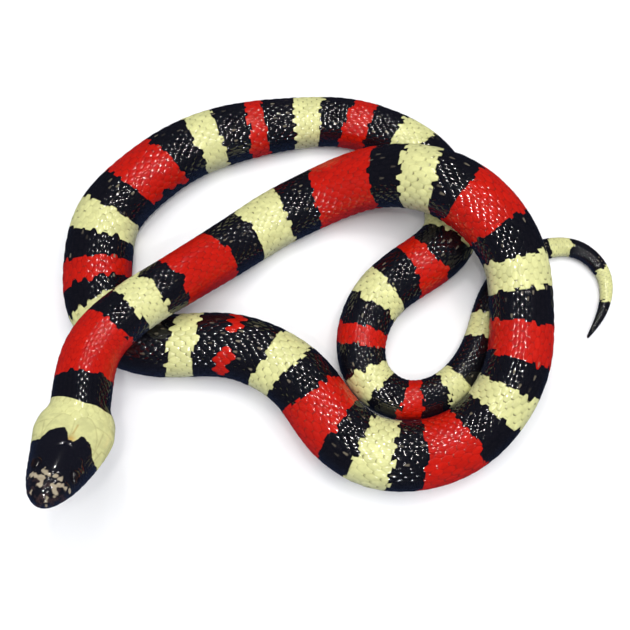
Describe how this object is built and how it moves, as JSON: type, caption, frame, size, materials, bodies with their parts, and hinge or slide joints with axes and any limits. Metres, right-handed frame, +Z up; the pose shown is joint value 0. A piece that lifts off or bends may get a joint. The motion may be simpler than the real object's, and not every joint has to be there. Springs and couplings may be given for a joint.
{
  "type": "milk snake",
  "caption": "Young milk snake, life size, resting in loose overlapping coils with its head raised; ringed in red, black and cream.",
  "frame": {"origin": "on the floor under the middle of the model's bounding box", "axes": "+X along the longest side of the coil, +Y away from the raised snout, +Z up"},
  "size_m": [0.1163, 0.0902, 0.0352],
  "materials": {
    "head_scales": "glossy",
    "body_scales": "glossy",
    "eye": "wet"
  },
  "bodies": {
    "root": {"head": "head_scales", "lower_jaw": "head_scales", "eye_left": "eye", "eye_right": "eye", "neck": "body_scales", "body_01": "body_scales", "body_02": "body_scales", "body_03": "body_scales", "body_04": "body_scales", "body_05": "body_scales", "body_06": "body_scales", "body_07": "body_scales", "body_08": "body_scales", "body_09": "body_scales", "body_10": "body_scales", "body_11": "body_scales", "body_12": "body_scales", "body_13": "body_scales", "body_14": "body_scales", "tail_1": "body_scales", "tail_2": "body_scales", "tail_3": "body_scales"}
  },
  "joints": []
}
